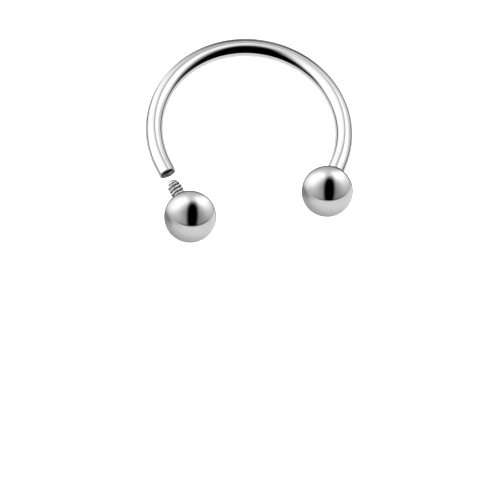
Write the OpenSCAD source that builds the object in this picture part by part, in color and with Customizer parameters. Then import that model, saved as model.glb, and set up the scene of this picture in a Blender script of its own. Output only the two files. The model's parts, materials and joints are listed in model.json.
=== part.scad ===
// Horseshoe barbell: a round bend of polished steel wire, threaded inside at both
// ends, and two balls with threaded posts. It lies on its side. The right ball is
// screwed home, the left one is unscrewed and stands off its socket.
// Millimetres. +Z is up, the bend's crown points to +Y, its balls to -Y.

/* [Bar] */
// Diameter of the wire
wire_d = 1.63; // [1.5:0.01:2.6]
// Inside diameter of the round bend
inner_d = 16; // [12:0.5:20]
// How far each leg runs on past the half circle, in degrees
leg_deg = 24; // [10:1:34]
// Straight stretch at the end of each leg
end_straight = 1; // [0.6:0.1:3]
// Bevel on the outer edge of each end
end_bevel = 0.03; // [0.01:0.01:0.03]

/* [Socket] */
// Wall left between the socket and the outside of the wire
socket_wall = 0.15; // [0.12:0.01:0.25]
// Radial widening of the socket's mouth, where the ball seats
mouth_flare = 0.08; // [0.04:0.01:0.08]
// Room between the tip of a seated post and the floor of its socket
floor_room = 0.15; // [0.05:0.05:0.4]
// Full angle of the cone that ends the socket
drill_angle = 118; // [90:1:150]

/* [Balls] */
// Diameter of each ball
ball_d = 4.65; // [4:0.05:6]
// How deep the post's shank is set in the ball
shank_depth = 1.3; // [0.8:0.1:1.9]

/* [Posts] */
// Length of the post beyond the ball
post_l = 1.56; // [1:0.02:2]
// Pitch of the right-handed thread
pitch = 0.33; // [0.25:0.01:0.4]
// Depth of the thread
thread_depth = 0.17; // [0.1:0.01:0.22]
// Length of the rounded tip
tip_l = 0.38; // [0.2:0.02:0.6]

/* [Pose and fits] */
// Distance from the open socket's mouth to the tip of the unscrewed post
stand_off = 0.8; // [0.4:0.1:3]
// Radial clearance between a thread's crest and the socket
thread_gap = 0.02; // [0.01:0.01:0.04]
// Clearance between a seated ball and the end of the bar
seat_gap = 0.01; // [0.01:0.01:0.05]
// Clearance round and under a shank in its ball
shank_gap = 0.01; // [0.01:0.01:0.03]

/* [Hidden] */

LEFT = -1;
RIGHT = 1;
STEEL = [0.80, 0.81, 0.82];
SMOOTH = 96;
// degrees that the bend is swept past the left leg before it's cut there
BEND_OVER = 2;
// how far a hole is cut past the face that it opens in
PAST = 0.2;

// bar and socket
wire_r = wire_d / 2;
bend_r = inner_d / 2 + wire_r;
socket_r = wire_r - socket_wall;
mouth_r = socket_r + mouth_flare;

// ball on its seat, the edge of the mouth; heights are along a post, from the ball's centre
ball_r = ball_d / 2;
seat = sqrt(pow(ball_r, 2) - pow(mouth_r, 2)) + seat_gap;
crest_r = socket_r - thread_gap;
root_r = crest_r - thread_depth;
shank_foot = ball_r - shank_depth;
shank_top = sqrt(pow(ball_r, 2) - pow(root_r, 2));
tip_top = ball_r + post_l;
tip_foot = tip_top - tip_l;
reach = tip_top - seat;
socket_depth = reach + floor_room;
pulled = reach + stand_off;

// post mesh: sides round it, rings to a turn of thread, rings on the tip
POST_SIDES = 24;
RINGS_PER_TURN = 10;
TIP_RINGS = 5;
// shares of one turn that are flat at the root and at the crest
ROOT_SHARE = 0.25;
CREST_SHARE = 0.12;
// turns over which the thread fades in at the ball and out at the tip
FADE_TURNS = 0.5;

// resting place: the balls' centres in the bend's plane, and the tilt that sets both
// balls and the crown on the surface
function leg_end(side) = [side * bend_r * cos(leg_deg), -bend_r * sin(leg_deg)];
function leg_way(side) = [-side * sin(leg_deg), -cos(leg_deg)];
function ball_spot(side, out) = leg_end(side) + (end_straight + seat + out) * leg_way(side);
right_spot = ball_spot(RIGHT, 0);
left_spot = ball_spot(LEFT, pulled);
span = right_spot - left_spot;
fall = [-span[1], span[0]] / norm(span);
balls_back = -(right_spot * fall);
tilt = asin((ball_r - wire_r) / (bend_r + balls_back));
lift = wire_r + bend_r * sin(tilt);

// box of what lies there, for an origin in the middle of its base
function laid(spot) = spot - (1 - cos(tilt)) * (spot * fall) * fall;
bend_x = bend_r * sqrt(1 - pow(fall[0] * sin(tilt), 2)) + wire_r;
bend_y = bend_r * sqrt(1 - pow(fall[1] * sin(tilt), 2)) + wire_r;
high_x = max(bend_x, laid(right_spot)[0] + ball_r);
low_x = min(-bend_x, laid(left_spot)[0] - ball_r);
low_y = min(laid(left_spot)[1], laid(right_spot)[1]) - ball_r;

module laid_down() {
    translate([-(high_x + low_x) / 2, -(bend_y + low_y) / 2, lift])
        rotate(a = tilt, v = [-fall[1], fall[0], 0])
            children();
}

// at the end of a leg's round part, with +Z running out along the leg
module at_leg(side) {
    rotate([0, 0, -side * leg_deg])
        translate([side * bend_r, 0, 0])
            rotate([90, 0, 0])
                children();
}

// at a ball's centre, out by so much from its seat, with +Z pointing into the leg
module at_ball(side, out) {
    at_leg(side)
        translate([0, 0, end_straight + seat + out])
            rotate([180, 0, 0])
                children();
}

module straight_end() {
    rotate_extrude($fn = SMOOTH)
        polygon([
            [0, 0],
            [wire_r, 0],
            [wire_r, end_straight - end_bevel],
            [wire_r - end_bevel, end_straight],
            [0, end_straight],
        ]);
}

// the hollow, with its mouth at the end of the straight and a drilled floor
module socket() {
    floor_z = end_straight - socket_depth;
    rotate_extrude($fn = SMOOTH)
        polygon([
            [0, floor_z - socket_r / tan(drill_angle / 2)],
            [socket_r, floor_z],
            [socket_r, end_straight - mouth_flare],
            [mouth_r, end_straight],
            [mouth_r, end_straight + PAST],
            [0, end_straight + PAST],
        ]);
}

// the round part of the bar, swept from the right leg and cut square at the left one
module bend() {
    difference() {
        rotate([0, 0, -leg_deg])
            rotate_extrude(angle = 180 + 2 * leg_deg + BEND_OVER, $fn = SMOOTH)
                translate([bend_r, 0])
                    circle(r = wire_r, $fn = SMOOTH);
        at_leg(LEFT)
            cylinder(r = wire_d, h = wire_r, $fn = SMOOTH);
    }
}

module horseshoe_bar() {
    color(STEEL)
        laid_down()
            difference() {
                union() {
                    bend();
                    for (side = [LEFT, RIGHT])
                        at_leg(side)
                            straight_end();
                }
                for (side = [LEFT, RIGHT])
                    at_leg(side)
                        socket();
            }
}

// ball with the blind hole that holds its post's shank
module ball() {
    hole_foot = shank_foot - shank_gap;
    difference() {
        sphere(r = ball_r, $fn = SMOOTH);
        translate([0, 0, hole_foot])
            cylinder(r = root_r + shank_gap, h = ball_r - hole_foot + PAST, $fn = SMOOTH);
    }
}

// 0 on the thread's root, 1 on its crest; the crest climbs as the angle grows
function thread_form(z, angle) =
    let (
        turn = z / pitch - angle / 360,
        ridge = abs(2 * (turn - floor(turn)) - 1)
    )
    min(1, max(0, (ridge - ROOT_SHARE) / (1 - ROOT_SHARE - CREST_SHARE)));

// 0 at both ends of the threaded stretch, 1 between them
function thread_fade(z) =
    min(1, max(0, min(z - shank_top, tip_foot - z) / (FADE_TURNS * pitch)));

function post_radius(z, angle) = root_r + thread_depth * thread_form(z, angle) * thread_fade(z);

// one ring of points: a height and a radius for each angle
function ring(z, tip_share = 0) = [
    for (i = [0 : POST_SIDES - 1])
        let (
            angle = 360 * i / POST_SIDES,
            r = tip_share > 0 ? root_r * sqrt(1 - pow(tip_share, 2)) : post_radius(z, angle)
        )
        [r * cos(angle), r * sin(angle), z]
];

// the post from the foot of its shank to its rounded tip, along +Z from the ball's centre
module post() {
    thread_l = tip_foot - shank_top;
    thread_rings = ceil(thread_l / pitch * RINGS_PER_TURN);
    rings = [
        ring(shank_foot),
        for (k = [0 : thread_rings]) ring(shank_top + thread_l * k / thread_rings),
        for (k = [1 : TIP_RINGS - 1])
            let (share = sin(90 * k / TIP_RINGS))
            ring(tip_foot + tip_l * share, share),
    ];
    wall_points = [for (loop = rings, p = loop) p];
    foot_i = len(wall_points);
    tip_i = foot_i + 1;
    last = (len(rings) - 1) * POST_SIDES;
    next = [for (i = [0 : POST_SIDES - 1]) (i + 1) % POST_SIDES];
    faces = [
        for (i = [0 : POST_SIDES - 1]) [foot_i, i, next[i]],
        for (k = [0 : len(rings) - 2], i = [0 : POST_SIDES - 1])
            let (a = k * POST_SIDES, b = a + POST_SIDES)
            each [
                [a + i, b + i, b + next[i]],
                [a + i, b + next[i], a + next[i]],
            ],
        for (i = [0 : POST_SIDES - 1]) [last + i, tip_i, last + next[i]],
    ];
    polyhedron(
        points = concat(wall_points, [[0, 0, shank_foot], [0, 0, tip_top]]),
        faces = faces,
        convexity = 4
    );
}

module left_ball() {
    color(STEEL)
        laid_down()
            at_ball(LEFT, pulled)
                ball();
}

module left_post() {
    color(STEEL)
        laid_down()
            at_ball(LEFT, pulled)
                post();
}

module right_ball() {
    color(STEEL)
        laid_down()
            at_ball(RIGHT, 0)
                ball();
}

module right_post() {
    color(STEEL)
        laid_down()
            at_ball(RIGHT, 0)
                post();
}

horseshoe_bar();
left_ball();
left_post();
right_ball();
right_post();
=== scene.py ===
import json
import math

import bmesh
import bpy
from mathutils import Matrix, Vector


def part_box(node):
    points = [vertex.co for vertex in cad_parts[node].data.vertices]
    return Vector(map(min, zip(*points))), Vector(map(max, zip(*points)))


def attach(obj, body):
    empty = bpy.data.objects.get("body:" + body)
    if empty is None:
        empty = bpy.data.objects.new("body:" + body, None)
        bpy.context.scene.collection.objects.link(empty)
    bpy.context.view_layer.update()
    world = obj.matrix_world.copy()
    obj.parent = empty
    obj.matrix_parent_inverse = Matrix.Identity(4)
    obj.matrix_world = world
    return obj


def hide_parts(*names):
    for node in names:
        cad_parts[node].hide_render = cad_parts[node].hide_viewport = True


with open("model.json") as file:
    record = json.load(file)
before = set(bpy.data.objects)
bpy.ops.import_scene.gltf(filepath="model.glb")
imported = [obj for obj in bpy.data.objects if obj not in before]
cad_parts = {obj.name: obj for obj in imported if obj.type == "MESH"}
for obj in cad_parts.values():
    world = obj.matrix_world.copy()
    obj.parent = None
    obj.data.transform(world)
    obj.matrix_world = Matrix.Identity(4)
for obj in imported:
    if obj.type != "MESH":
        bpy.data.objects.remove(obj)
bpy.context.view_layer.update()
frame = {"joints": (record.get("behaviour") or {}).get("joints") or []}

# sizes in millimetres, as in the CAD model
MM = 0.001
WIRE_R = 1.63 / 2
BEND_R = 16 / 2 + WIRE_R
END_STRAIGHT = 1.0
END_BEVEL = 0.03
SOCKET_R = WIRE_R - 0.15
MOUTH_FLARE = 0.08
MOUTH_R = SOCKET_R + MOUTH_FLARE
FLOOR_ROOM = 0.15
DRILL_ANGLE = math.radians(118)
BALL_R = 4.65 / 2
SHANK_DEPTH = 1.3
SHANK_GAP = 0.01
SEAT_GAP = 0.01
POST_L = 1.56
PITCH = 0.33
THREAD_DEPTH = 0.17
THREAD_GAP = 0.02
TIP_L = 0.38

# heights along a post, from its ball's centre
SEAT = math.sqrt(BALL_R ** 2 - MOUTH_R ** 2) + SEAT_GAP
CREST_R = SOCKET_R - THREAD_GAP
ROOT_R = CREST_R - THREAD_DEPTH
SHANK_FOOT = BALL_R - SHANK_DEPTH
SHANK_TOP = math.sqrt(BALL_R ** 2 - ROOT_R ** 2)
TIP_TOP = BALL_R + POST_L
TIP_FOOT = TIP_TOP - TIP_L

# heights in a socket, from the end of the leg's round part
SOCKET_FLOOR = END_STRAIGHT - (TIP_TOP - SEAT + FLOOR_ROOM)
SOCKET_TOP = END_STRAIGHT - MOUTH_FLARE
DRILL_TIP = SOCKET_FLOOR - SOCKET_R / math.tan(DRILL_ANGLE / 2)

# shares of one turn that are flat at a thread's root and on its crest, and the turns over
# which the thread fades in and out
POST_THREAD = {"root": 0.25, "crest": 0.12, "fade": 0.5}
SOCKET_THREAD = {"root": 0.3, "crest": 0.2, "fade": 0.25}
# how deep the socket's thread is cut into its wall
GROOVE_DEPTH = 0.05
# rounding of the machined edges
EDGE_R = 0.012

# shade painted in the socket, from 0 polished to 1 black: on its mouth's flare, on its wall,
# and what a turn of depth and a groove add to the wall
FLARE_SHADE = 0.84
WALL_SHADE = 0.77
DEPTH_SHADE = 0.18
GROOVE_SHADE = 0.22

# mesh fineness
WIRE_SIDES = 96
BEND_RINGS = 240
BALL_SIDES = 128
BALL_RINGS = 72
THREAD_SIDES = 72
ROWS_PER_TURN = 24
DOME_RINGS = 12
EDGE_STEPS = 4
TENT_SPLITS = 5
# how many roundings long a face is that needs points beside them
LONG_FACE = 4
# how close points are merged, and how short an edge is dropped
MERGE = 0.0002
SHORTEST = 0.0001

LEFT = "left"
RIGHT = "right"


# places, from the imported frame: a ball's centre and the way its leg points
def middle(node):
    """The middle of a node's box."""
    low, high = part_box(node)
    return (low + high) / 2


ways = {j["name"].split("_")[0]: Vector(j["axis"]).normalized() for j in frame["joints"]}
balls = {side: middle(side + "_ball") for side in (LEFT, RIGHT)}
ring_up = ways[RIGHT].cross(ways[LEFT]).normalized()
ring_crown = -(ways[LEFT] + ways[RIGHT]).normalized()
ring_right = ring_crown.cross(ring_up)
leg_turn = ways[LEFT].angle(ways[RIGHT]) / 2


def out_of_bend(side):
    """The direction from the bend's centre to the end of a leg's round part."""
    across = ring_right if side == RIGHT else -ring_right
    return across * math.cos(leg_turn) - ring_crown * math.sin(leg_turn)


ball_from_centre = BEND_R * out_of_bend(RIGHT) + (END_STRAIGHT + SEAT) * ways[RIGHT]
bend_centre = balls[RIGHT] - MM * ball_from_centre


def axes_at(origin, x_axis, z_axis):
    """A matrix from millimetres along the given axes to the frame's metres."""
    y_axis = z_axis.cross(x_axis)
    columns = Matrix((x_axis * MM, y_axis * MM, z_axis * MM)).transposed().to_4x4()
    return Matrix.Translation(origin) @ columns


def leg_axes(side):
    """At the end of a leg's round part, +Z running out along the leg."""
    out = out_of_bend(side)
    return axes_at(bend_centre + MM * BEND_R * out, out, ways[side])


def post_axes(side):
    """At a ball's centre, +Z running along its post."""
    return axes_at(balls[side], out_of_bend(side), -ways[side])


# mesh building: every part goes into one bmesh, whose shared edges are then merged
def new_part():
    """An empty bmesh whose points also carry a groove value: how much shade is painted on them.
    """
    bm = bmesh.new()
    bm.verts.layers.float.new("groove")
    return bm


def add_rings(bm, rings, darks=()):
    """Skins a list of rings of points. A ring of one point is a pole."""
    groove = bm.verts.layers.float["groove"]
    made = [[bm.verts.new(p) for p in ring] for ring in rings]
    for ring, dark in zip(made, darks):
        for vert in ring:
            vert[groove] = dark
    for low, high in zip(made, made[1:]):
        count = max(len(low), len(high))
        for i in range(count):
            j = (i + 1) % count
            corners = [low[i % len(low)], low[j % len(low)],
                       high[j % len(high)], high[i % len(high)]]
            bm.faces.new(list(dict.fromkeys(corners)))


def circle(place, radius, height, sides):
    """A ring of points about the Z axis of a place, or a pole where the radius is 0."""
    if radius == 0:
        return [place @ Vector((0, 0, height))]
    turns = [2 * math.pi * i / sides for i in range(sides)]
    return [place @ Vector((radius * math.cos(t), radius * math.sin(t), height)) for t in turns]


def lathe(bm, place, profile, sides, dark=lambda height, radius: 0):
    """Turns a profile of (height, radius) points about the Z axis of a place."""
    rings = [circle(place, radius, height, sides) for height, radius in profile]
    add_rings(bm, rings, [dark(*point) for point in profile])


def rounded(points, radius):
    """A profile with the corners between its end points rounded, and a point close to each
    side of a rounding, which keeps the long faces beside it flat to the eye."""
    out = [points[0]]
    for before, corner, after in zip(points, points[1:], points[2:]):
        here = Vector(corner)
        back = Vector(before) - here
        on = Vector(after) - here
        reach = min(radius, back.length / 2, on.length / 2)
        start = here + back.normalized() * reach
        end = here + on.normalized() * reach
        if back.length > LONG_FACE * reach:
            out.append(tuple(start + back.normalized() * reach))
        for k in range(EDGE_STEPS + 1):
            t = k / EDGE_STEPS
            out.append(tuple(start * (1 - t) ** 2 + here * (2 * t * (1 - t)) + end * t ** 2))
        if on.length > LONG_FACE * reach:
            out.append(tuple(end + on.normalized() * reach))
    out.append(points[-1])
    return out


def thread(bm, place, low, high, form, sides):
    """Skins a right-handed helix between two heights, with rows of faces that follow its pitch.
    form gives the radius and the shade painted in the groove for a height and a place in turns."""
    groove = bm.verts.layers.float["groove"]
    row = PITCH / ROWS_PER_TURN
    last = math.ceil((high - low) / row)

    def point(side, k):
        climb = low + row * (k + ROWS_PER_TURN * side / sides)
        height = min(high, max(low, climb))
        turn = 2 * math.pi * side / sides
        radius, dark = form(height, (height - low) / PITCH - side / sides)
        spot = Vector((radius * math.cos(turn), radius * math.sin(turn), height))
        made = bm.verts.new(place @ spot)
        made[groove] = dark
        return made

    rows = range(-ROWS_PER_TURN, last + ROWS_PER_TURN + 1)
    grid = {(side, k): point(side, k) for side in range(sides) for k in rows}

    def vert(side, k):
        if side == sides:
            return grid[0, min(rows[-1], k + ROWS_PER_TURN)]
        return grid[side, k]

    for side in range(sides):
        for k in rows[:-1]:
            corners = [vert(side, k), vert(side + 1, k), vert(side + 1, k + 1), vert(side, k + 1)]
            corners = list(dict.fromkeys(corners))
            if len(corners) > 2:
                bm.faces.new(corners)


def show(name, bm, material):
    """Makes a bmesh an object of the scene in one material."""
    mesh = bpy.data.meshes.new(name)
    bm.to_mesh(mesh)
    bm.free()
    mesh.materials.append(material)
    made = bpy.data.objects.new(name, mesh)
    bpy.context.scene.collection.objects.link(made)
    return made


def finished(bm, name, body, material, node):
    """Merges what was skinned into a closed mesh that rides on a body and stands for a node."""
    bmesh.ops.remove_doubles(bm, verts=bm.verts, dist=MERGE * MM)
    bmesh.ops.dissolve_degenerate(bm, edges=bm.edges, dist=SHORTEST * MM)
    bmesh.ops.recalc_face_normals(bm, faces=bm.faces)
    for face in bm.faces:
        face.smooth = True
    piece = show(name, bm, material)
    # the pieces don't show in each other's polish
    piece.visible_glossy = False
    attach(piece, body)
    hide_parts(node)
    return piece


# thread forms
def ridge(turn, shape):
    """0 at a thread's root, 1 on its crest, for a place given in turns."""
    slope = abs(2 * (turn - math.floor(turn)) - 1)
    return min(1, max(0, (slope - shape["root"]) / (1 - shape["root"] - shape["crest"])))


def fade(height, low, high, shape):
    """0 at both ends of a threaded stretch, 1 between them."""
    return min(1, max(0, min(height - low, high - height) / (shape["fade"] * PITCH)))


def post_form(height, turn):
    """A post's thread stands out from its root, which has shade painted on it."""
    rise = ridge(turn, POST_THREAD) * fade(height, SHANK_TOP, TIP_FOOT, POST_THREAD)
    return ROOT_R + THREAD_DEPTH * rise, 1 - rise


def socket_form(height, turn):
    """A socket's thread is cut into its wall, which has shade painted on it that deepens inwards
    and in the groove.
    """
    sink = ridge(turn, SOCKET_THREAD) * fade(height, SOCKET_FLOOR, SOCKET_TOP, SOCKET_THREAD)
    depth = min(1, (SOCKET_TOP - height) / PITCH)
    dark = WALL_SHADE + DEPTH_SHADE * depth + GROOVE_SHADE * sink
    return SOCKET_R + GROOVE_DEPTH * sink, dark


def mouth_shade(height, radius):
    """The end's face is polished, up to the edge where the mouth's flare begins, which has shade
    painted on it.
    """
    return FLARE_SHADE * min(1, max(0, (MOUTH_R - radius) / EDGE_R))


# pieces
def make_bar(steel):
    """The round bend, and a straight end with its threaded socket on each leg."""
    bm = new_part()
    rings = []
    for step in range(BEND_RINGS + 1):
        turn = (math.pi + 2 * leg_turn) * step / BEND_RINGS - leg_turn
        out = ring_right * math.cos(turn) + ring_crown * math.sin(turn)
        place = axes_at(bend_centre + MM * BEND_R * out, out, ring_up.cross(out))
        rings.append(circle(place, WIRE_R, 0, WIRE_SIDES))
    add_rings(bm, rings)
    for side in (LEFT, RIGHT):
        place = leg_axes(side)
        end = rounded([
            (0, WIRE_R),
            (END_STRAIGHT - END_BEVEL, WIRE_R),
            (END_STRAIGHT, WIRE_R - END_BEVEL),
            (END_STRAIGHT, MOUTH_R),
            (SOCKET_TOP, SOCKET_R),
        ], EDGE_R)
        drilled = [(DRILL_TIP, 0), (SOCKET_FLOOR, SOCKET_R)]
        lathe(bm, place, end, WIRE_SIDES, mouth_shade)
        thread(bm, place, SOCKET_FLOOR, SOCKET_TOP, socket_form, WIRE_SIDES)
        # the drilled cone at the socket's floor is painted in full shade
        lathe(bm, place, drilled, WIRE_SIDES, lambda height, radius: 1)
    return finished(bm, "bar_visual", "bar", steel, "horseshoe_bar")


def make_ball(side, steel):
    """A ball, with the blind hole that holds its post's shank."""
    bm = new_part()
    hole_r = ROOT_R + SHANK_GAP
    hole_foot = SHANK_FOOT - SHANK_GAP
    rim = math.asin(hole_r / BALL_R)
    profile = [(-BALL_R, 0)]
    for k in range(1, BALL_RINGS + 1):
        turn = math.pi - (math.pi - rim) * k / BALL_RINGS
        profile.append((BALL_R * math.cos(turn), BALL_R * math.sin(turn)))
    profile += [
        (BALL_R * math.cos(rim) - EDGE_R, hole_r),
        (hole_foot + EDGE_R, hole_r),
        (hole_foot, hole_r),
        (hole_foot, 0),
    ]
    lathe(bm, post_axes(side), profile, BALL_SIDES)
    name = side + "_ball"
    return finished(bm, name + "_visual", side + "_end", steel, name)


def make_post(side, steel):
    """A post, from the foot of its shank to its rounded tip."""
    bm = new_part()
    place = post_axes(side)
    shank = [(SHANK_FOOT, 0), (SHANK_FOOT, ROOT_R), (SHANK_TOP, ROOT_R)]
    lathe(bm, place, shank, THREAD_SIDES)
    thread(bm, place, SHANK_TOP, TIP_FOOT, post_form, THREAD_SIDES)
    dome = []
    for k in range(DOME_RINGS):
        turn = math.pi / 2 * k / DOME_RINGS
        dome.append((TIP_FOOT + TIP_L * math.sin(turn), ROOT_R * math.cos(turn)))
    dome.append((TIP_TOP, 0))
    lathe(bm, place, dome, THREAD_SIDES)
    name = side + "_post"
    return finished(bm, name + "_visual", side + "_end", steel, name)


# materials
# share of the light that polished steel reflects, how it varies in a cloud from the darkest
# to the lightest, and the share left where shade is painted in grooves and in the socket
STEEL_TONE = 0.66
CLOUD_DARK = (0.97, 0.97, 0.98)
CLOUD_LIGHT = (1.03, 1.03, 1.03)
PAINTED_SHADE_TONE = 0.01
# waves to a metre and levels of detail: clouds in the tone, patches in the gloss, fine marks
CLOUDS = (700, 3)
PATCHES = (1500, 5)
MARKS = (2600, 4)
MARK_STRENGTH = 0.25
# the stretch of a noise that holds most of its values
NOISE_LOW = 0.3
NOISE_HIGH = 0.7


def link(tree, value, socket):
    """Connects a node's output to a socket, or sets the socket to a plain value."""
    if isinstance(value, bpy.types.NodeSocket):
        tree.links.new(value, socket)
    else:
        socket.default_value = value


def calc(tree, operation, *values):
    """Maths on nodes' outputs and plain numbers."""
    made = tree.nodes.new("ShaderNodeMath")
    made.operation = operation
    for value, socket in zip(values, made.inputs):
        link(tree, value, socket)
    return made.outputs[0]


def aim(tree, operation, *values):
    """Vector maths on nodes' outputs and plain vectors."""
    made = tree.nodes.new("ShaderNodeVectorMath")
    made.operation = operation
    for value, socket in zip(values, made.inputs):
        link(tree, value, socket)
    return made.outputs["Value" if operation == "DOT_PRODUCT" else "Vector"]


def step_up(tree, value, low, high, low_out=0.0, high_out=1.0):
    """Rises smoothly from low_out to high_out as a value goes from low to high."""
    made = tree.nodes.new("ShaderNodeMapRange")
    made.interpolation_type = "SMOOTHSTEP"
    for name, given in (("Value", value), ("From Min", low), ("From Max", high),
                        ("To Min", low_out), ("To Max", high_out)):
        link(tree, given, made.inputs[name])
    return made.outputs[0]


def noise(tree, where, scale, detail):
    """A noise texture, scale being waves to a metre."""
    made = tree.nodes.new("ShaderNodeTexNoise")
    made.inputs["Scale"].default_value = scale
    made.inputs["Detail"].default_value = detail
    tree.links.new(where, made.inputs["Vector"])
    return made.outputs["Fac"]


def steel(name, shade_from, smooth, rough, relief):
    """Polished steel: faint clouds in its tone, gloss from smooth to rough, and fine marks of
    a relief in millimetres. A part with a thread gets shade painted into its colour where its
    groove value passes the threshold given first."""
    material = bpy.data.materials.new(name)
    material.use_nodes = True
    tree = material.node_tree
    shader = tree.nodes["Principled BSDF"]
    shader.inputs["Metallic"].default_value = 1.0
    where = tree.nodes.new("ShaderNodeTexCoord").outputs["Object"]
    tint = tree.nodes.new("ShaderNodeValToRGB")
    stops = ((NOISE_LOW, CLOUD_DARK), (NOISE_HIGH, CLOUD_LIGHT))
    for element, (position, cloud) in zip(tint.color_ramp.elements, stops):
        element.position = position
        element.color = (*(STEEL_TONE * share for share in cloud), 1)
    tree.links.new(noise(tree, where, *CLOUDS), tint.inputs["Fac"])
    colour = tint.outputs[0]
    # painted shade: the colour falls to a near-black tone where the groove value is high
    if shade_from is not None:
        groove = tree.nodes.new("ShaderNodeAttribute")
        groove.attribute_name = "groove"
        dark = step_up(tree, groove.outputs["Fac"], shade_from, 1.0)
        mixed = tree.nodes.new("ShaderNodeMix")
        mixed.data_type = "RGBA"
        tree.links.new(dark, mixed.inputs["Factor"])
        tree.links.new(colour, mixed.inputs["A"])
        mixed.inputs["B"].default_value = (PAINTED_SHADE_TONE, PAINTED_SHADE_TONE, PAINTED_SHADE_TONE, 1)
        colour = mixed.outputs["Result"]
    tree.links.new(colour, shader.inputs["Base Color"])
    patches = noise(tree, where, *PATCHES)
    gloss = step_up(tree, patches, NOISE_LOW, NOISE_HIGH, smooth, rough)
    tree.links.new(gloss, shader.inputs["Roughness"])
    bump = tree.nodes.new("ShaderNodeBump")
    bump.inputs["Strength"].default_value = MARK_STRENGTH
    bump.inputs["Distance"].default_value = relief * MM
    tree.links.new(noise(tree, where, *MARKS), bump.inputs["Height"])
    tree.links.new(bump.outputs[0], shader.inputs["Normal"])
    return material


bar_steel = steel("polished_bar", shade_from=0.5, smooth=0.03, rough=0.06, relief=0.0006)
ball_steel = steel("polished_ball", shade_from=None, smooth=0.03, rough=0.05, relief=0.0005)
post_steel = steel("cut_thread", shade_from=0.62, smooth=0.06, rough=0.12, relief=0.001)

bar = make_bar(bar_steel)
balls_made = [make_ball(side, ball_steel) for side in (LEFT, RIGHT)]
posts = [make_post(side, post_steel) for side in (LEFT, RIGHT)]

# floor, a sheet of white paper a hair below the barbell; half its width is in metres
FLOOR_HALF = 1.0
FLOOR_Z = -0.01 * MM
PAPER_TONE = 0.9
paper = bpy.data.materials.new("paper")
paper.use_nodes = True
paper_shader = paper.node_tree.nodes["Principled BSDF"]
paper_shader.inputs["Base Color"].default_value = (PAPER_TONE, PAPER_TONE, PAPER_TONE, 1)
paper_shader.inputs["Roughness"].default_value = 0.9
paper_shader.inputs["Specular IOR Level"].default_value = 0.1
bm = bmesh.new()
bmesh.ops.create_grid(bm, x_segments=1, y_segments=1, size=FLOOR_HALF)
floor = show("floor", bm, paper)
floor.location.z = FLOOR_Z
floor.visible_glossy = False

# camera: its place in millimetres and its axes, from a fit to the barbell's edges
CAMERA_AT = Vector((-9.067, -34.552, 84.572))
CAMERA_RIGHT = Vector((0.99591, -0.03926, 0.08140))
CAMERA_UP = Vector((0.01452, 0.95850, 0.28471))
CAMERA_BACK = CAMERA_RIGHT.cross(CAMERA_UP)
lens = bpy.data.cameras.new("camera")
lens.lens = 72.8
lens.sensor_width = 36
lens.clip_start = 0.002
lens.clip_end = 10
camera = bpy.data.objects.new("camera", lens)
bpy.context.scene.collection.objects.link(camera)
camera_turn = Matrix((CAMERA_RIGHT, CAMERA_UP, CAMERA_BACK)).transposed().to_4x4()
camera.matrix_world = Matrix.Translation(CAMERA_AT * MM) @ camera_turn
bpy.context.scene.camera = camera
bpy.context.scene.view_settings.view_transform = "Standard"


# studio light: an even one from the world for the floor, and tents that the steel shows
SCREEN_WHITE = 255
SCREEN_GAMMA = 2.2


def brightness(tone):
    """The light that the steel reflects as a grey of 0 to SCREEN_WHITE."""
    return (tone / SCREEN_WHITE) ** SCREEN_GAMMA / STEEL_TONE


def card(tree, x, y, below, middle_at, half, lean, power, soft, tone):
    """Lays a card over what is below it, in the places of a ball's picture of the tent."""
    across, up = math.cos(math.radians(lean)), math.sin(math.radians(lean))
    dx = calc(tree, "SUBTRACT", x, middle_at[0])
    dy = calc(tree, "SUBTRACT", y, middle_at[1])
    spans = []
    for a, b, size in ((across, up, half[0]), (-up, across, half[1])):
        reach = calc(tree, "MULTIPLY_ADD", dx, a / size, calc(tree, "MULTIPLY", dy, b / size))
        spans.append(calc(tree, "POWER", calc(tree, "ABSOLUTE", reach), power))
    edge = calc(tree, "POWER", calc(tree, "ADD", *spans), 1 / power)
    cover = step_up(tree, edge, 1 - soft, 1 + soft, 1.0, 0.0)
    change = calc(tree, "MULTIPLY", cover, calc(tree, "SUBTRACT", brightness(tone), below))
    return calc(tree, "ADD", below, change)


def tent(name, pieces, radius, view, ground, cards):
    """A large round tent whose inner side lights some pieces and shows in them. Its cards
    are laid out as a ball seen along view shows them."""
    view_right = CAMERA_UP.cross(view).normalized()
    view_up = view.cross(view_right)
    material = bpy.data.materials.new(name)
    material.use_nodes = True
    tree = material.node_tree
    tree.nodes.clear()
    # a ball shows a spot of the tent where the ball's normal is half way between the ways
    # to that spot and to the viewer
    spot = tree.nodes.new("ShaderNodeNewGeometry").outputs["Position"]
    half_way = aim(tree, "ADD", aim(tree, "NORMALIZE", spot), view)
    normal = aim(tree, "NORMALIZE", half_way)
    x = aim(tree, "DOT_PRODUCT", normal, view_right)
    y = aim(tree, "DOT_PRODUCT", normal, view_up)
    light = brightness(ground)
    for one in cards:
        light = card(tree, x, y, light, *one)
    glow = tree.nodes.new("ShaderNodeEmission")
    link(tree, light, glow.inputs["Strength"])
    clear = tree.nodes.new("ShaderNodeBsdfTransparent")
    both = tree.nodes.new("ShaderNodeAddShader")
    tree.links.new(glow.outputs[0], both.inputs[0])
    tree.links.new(clear.outputs[0], both.inputs[1])
    end = tree.nodes.new("ShaderNodeOutputMaterial")
    tree.links.new(both.outputs[0], end.inputs["Surface"])
    material.cycles.emission_sampling = "NONE"

    bm = bmesh.new()
    bmesh.ops.create_icosphere(bm, subdivisions=TENT_SPLITS, radius=radius)
    shell = show(name, bm, material)
    shell.visible_camera = False
    shell.visible_shadow = False
    lit = bpy.data.collections.new(name + "_lights")
    for piece in pieces:
        lit.objects.link(piece)
    shell.light_linking.receiver_collection = lit


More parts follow.
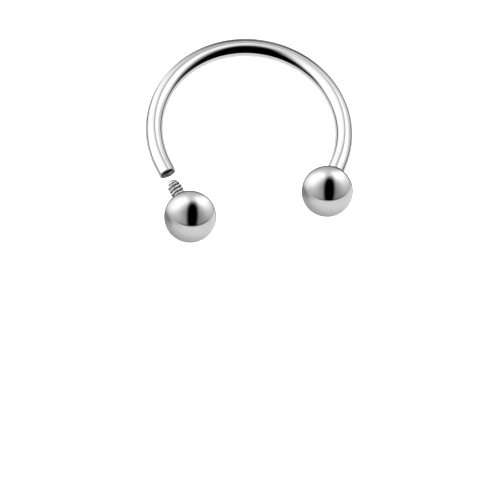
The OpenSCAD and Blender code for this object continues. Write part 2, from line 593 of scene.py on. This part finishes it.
WORLD_LIGHT = 3.0
world = bpy.data.worlds.new("studio")
bpy.context.scene.world = world
world.use_nodes = True
sky = world.node_tree.nodes["Background"]
sky.inputs["Color"].default_value = (1, 1, 1, 1)
sky.inputs["Strength"].default_value = WORLD_LIGHT
world.cycles_visibility.glossy = False

# the tents' radii in metres differ, so that no two surfaces coincide
POST_TENT_R = 1.3
BAR_TENT_R = 1.5
BALL_TENT_R = {LEFT: 1.7, RIGHT: 1.9}

# columns: middle, half size, lean in degrees, 2 for an ellipse or more for a squarer
# card, soft share of the edge (below zero, the card covers all that is outside), tone
# most rows for the bar and the balls are the results of a least-squares fit to the greys
# that the photographed steel shows, some changed; the posts' rows are given
tent("bar_tent", [bar], BAR_TENT_R, CAMERA_BACK, 205, [
    ((0.80, -0.35), (2.20, 0.52), 5, 2, 0.20, 0),
    ((0.44, 0.51), (0.47, 0.34), -77, 2, 0.58, 299),
    ((-0.32, 0.32), (0.48, 0.20), 62, 2, 0.71, 254),
    ((-0.48, 0.24), (0.36, 0.44), 15, 2, 0.32, 256),
    ((0.04, 0.01), (0.06, 0.10), 100, 2, 0.87, 54),
    ((0.20, 0.85), (0.53, 0.31), -12, 2, 0.66, 27),
    ((0.59, 0.33), (0.12, 0.31), 27, 2, 0.98, 190),
    ((0.06, 0.45), (0.08, 0.05), -28, 2, 0.90, 155),
    ((0.00, -0.01), (0.76, 0.85), -2, 2, -0.03, 45),
    ((0.92, 0.04), (0.40, 0.07), 46, 2, 0.98, 36),
    ((-0.54, -0.36), (0.14, 0.06), -67, 2, 0.98, 64),
    ((0.00, 0.06), (0.835, 0.82), 2, 2, -0.025, 205),
    ((-0.46, 0.79), (0.54, 0.05), 66, 2, 0.92, 221),
    ((-0.07, 1.02), (0.09, 0.34), 48, 2, 0.96, 170),
])
tent("post_tent", posts, POST_TENT_R, CAMERA_BACK, 275, [
    ((0.00, 0.88), (0.90, 0.42), 0, 2, 0.75, 185),
    ((0.30, -0.60), (0.90, 0.50), 28, 2, 0.80, 190),
    ((0.04, -0.05), (0.09, 0.50), 28, 2, 0.80, 60),
    ((0.00, 0.00), (0.80, 0.80), 0, 2, -0.14, 85),
])
for side, ball in zip((LEFT, RIGHT), balls_made):
    to_camera = (CAMERA_AT * MM - balls[side]).normalized()
    tent(side + "_ball_tent", [ball], BALL_TENT_R[side], to_camera, 135, [
        ((0.02, 0.31), (1.52, 0.40), 2, 2, 0.85, 202),
        ((-0.05, 0.64), (0.76, 0.21), 22, 2, 0.95, 289),
        ((0.29, 0.85), (0.47, 0.23), -52, 2, 0.82, 297),
        ((0.02, 0.74), (0.10, 0.15), -65, 2, 0.81, 232),
        ((0.10, 0.08), (0.34, 0.44), 35, 2, 0.85, 105),
        ((0.08, 0.02), (0.21, 0.59), -2, 2.5, 0.33, 0),
        ((-0.17, 0.43), (1.10, 0.74), -15, 2, -0.10, 7),
        ((0.00, 0.30), (0.89, 0.67), -7, 2, -0.05, 204),
        ((-0.91, -0.01), (0.56, 0.07), -35, 2, 0.63, 172),
        ((0.96, 0.41), (0.05, 0.50), -22, 2, 0.85, 174),
        ((0.25, 1.09), (0.85, 0.36), -2, 2, 0.51, 165),
        ((-1.12, 0.22), (0.61, 0.16), -54, 2, 0.48, 102),
        ((0.36, 0.42), (1.37, 1.19), 52, 2, -0.22, 132),
        ((0.00, -0.03), (0.975, 0.975), 0, 2, -0.02, 100),
    ])
